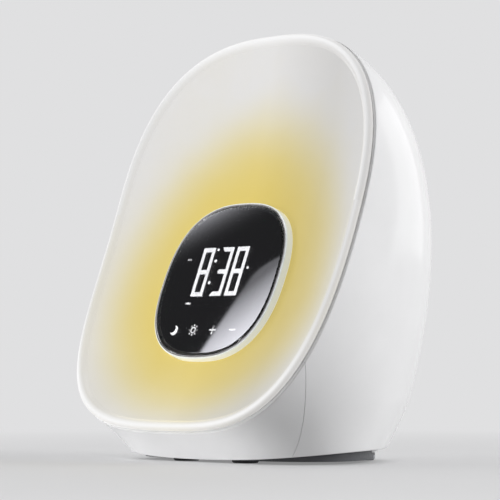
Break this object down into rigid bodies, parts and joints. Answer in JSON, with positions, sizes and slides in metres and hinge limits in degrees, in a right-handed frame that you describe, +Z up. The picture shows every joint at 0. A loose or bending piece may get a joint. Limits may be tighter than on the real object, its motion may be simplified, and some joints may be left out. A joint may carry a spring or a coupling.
{
  "type": "sunrise alarm clock",
  "caption": "Bedside sunrise alarm clock: egg-shaped white housing, dished opal lamp front leaning back, round-cornered black display pod with touch symbols.",
  "frame": {"origin": "on the table, under the middle of the clock's bounding box", "axes": "+Z up, the lamp face looks towards -Y, +X to its right seen from the back of the table towards +Y"},
  "size_m": [0.1666, 0.1159, 0.1946],
  "materials": {
    "opal": "opal, lit from behind",
    "white_shell": "high gloss",
    "pod_wall": "gloss",
    "trim": "polished",
    "lens": "polished, tinted",
    "module_grey": "matt",
    "lit_white": "lit",
    "white_inner": "matt",
    "board_green": "solder mask",
    "board_white": "solder mask",
    "emitter": "moulded",
    "screw_steel": "zinc plated",
    "spring_gold": "plated",
    "chip_black": "moulded",
    "capacitor": "sleeved",
    "connector": "moulded",
    "base_grey": "fine texture",
    "foot_rubber": "matt",
    "cell_steel": "rolled",
    "speaker_metal": "pressed",
    "speaker_paper": "coated paper",
    "magnet": "ferrite",
    "panel_plastic": "satin",
    "key_plastic": "satin",
    "jack_black": "moulded",
    "ribbon": "film",
    "wire": "insulated"
  },
  "bodies": {
    "clock": {"front_diffuser": "opal", "display_bezel": "pod_wall", "bezel_trim": "trim", "display_lens": "lens", "display_module": "module_grey", "display_segments": "lit_white", "touch_icons": "lit_white", "touch_springs": "spring_gold", "icon_leds": "emitter", "display_pcb": "board_green", "display_screws": "screw_steel", "reflector_tray": "white_inner", "led_board": "board_white", "led_emitters": "emitter", "bezel_screws": "screw_steel", "tray_screws": "screw_steel", "main_pcb": "board_green", "main_pcb_screws": "screw_steel", "main_chips": "chip_black", "power_capacitors": "capacitor", "board_connectors": "connector", "rear_housing": "white_shell", "front_housing": "white_shell", "base_plate": "base_grey", "rubber_feet": "foot_rubber", "base_screws": "screw_steel", "backup_cell": "cell_steel", "cell_contacts": "spring_gold", "speaker_frame": "speaker_metal", "speaker_cone": "speaker_paper", "speaker_magnet": "magnet", "speaker_screws": "screw_steel", "rear_panel": "panel_plastic", "button_board": "board_green", "tact_switches": "chip_black", "panel_screws": "screw_steel", "dc_jack": "jack_black", "display_ribbon": "ribbon", "led_lead": "wire", "speaker_lead": "wire", "panel_lead": "wire", "battery_lead": "wire"},
    "clock_key": {"clock_button": "key_plastic"},
    "alarm_key": {"alarm_button": "key_plastic"},
    "sound_key": {"sound_button": "key_plastic"},
    "volume_key": {"volume_button": "key_plastic"},
    "door": {"battery_door": "base_grey"}
  },
  "joints": [
    {"name": "clock_press", "type": "slide", "parent": "clock", "child": "clock_key", "axis": [0, -1, 0], "range_m": [0, 0.0004], "stiffness_N_per_m": 1500},
    {"name": "alarm_press", "type": "slide", "parent": "clock", "child": "alarm_key", "axis": [0, -1, 0], "range_m": [0, 0.0004], "stiffness_N_per_m": 1500},
    {"name": "sound_press", "type": "slide", "parent": "clock", "child": "sound_key", "axis": [0, -1, 0], "range_m": [0, 0.0004], "stiffness_N_per_m": 1500},
    {"name": "volume_press", "type": "slide", "parent": "clock", "child": "volume_key", "axis": [0, -1, 0], "range_m": [0, 0.0004], "stiffness_N_per_m": 1500},
    {"name": "door_slide", "type": "slide", "parent": "clock", "child": "door", "axis": [0, -1, 0], "range_m": [0, 0.009]}
  ]
}
